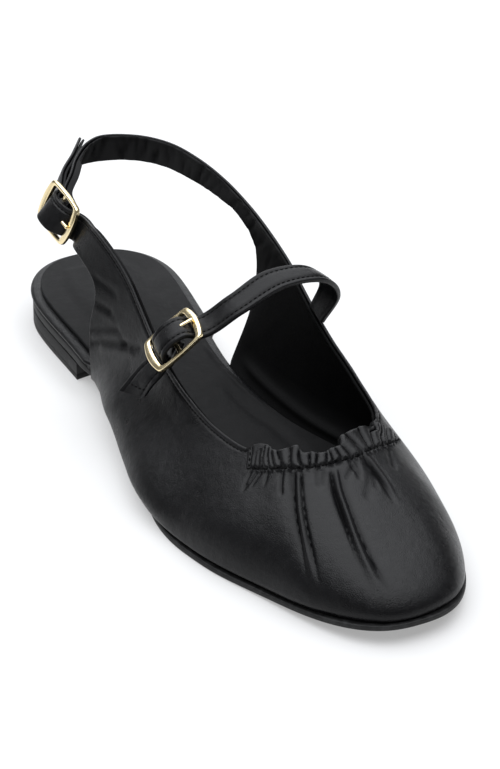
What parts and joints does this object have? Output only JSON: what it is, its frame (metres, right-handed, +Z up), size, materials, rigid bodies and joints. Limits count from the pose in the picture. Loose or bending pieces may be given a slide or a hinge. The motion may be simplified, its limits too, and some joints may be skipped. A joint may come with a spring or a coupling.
{
  "type": "closed-toe sandal",
  "caption": "Flat leather slingback with a closed round toe, a gathered band across the throat, a buckled instep strap and a buckled heel sling, open at the heel and sides.",
  "frame": {"origin": "middle of the shoe's box on the floor, under the sole", "axes": "+X from heel to toe, +Y towards the inner side of the foot, +Z up"},
  "size_m": [0.2504, 0.085, 0.0691],
  "materials": {
    "upper_leather": "smooth satin black",
    "sock_leather": "matte black",
    "sole_rubber": "satin black",
    "buckle_metal": "polished gold"
  },
  "bodies": {
    "root": {"outsole": "sole_rubber", "heel_lift": "sole_rubber", "insole_board": "upper_leather", "insole": "sock_leather", "upper": "upper_leather", "instep_strap": "upper_leather", "instep_tab": "upper_leather", "instep_buckle": "buckle_metal", "instep_prong": "buckle_metal", "sling_buckle": "buckle_metal", "sling_prong": "buckle_metal"}
  },
  "joints": []
}
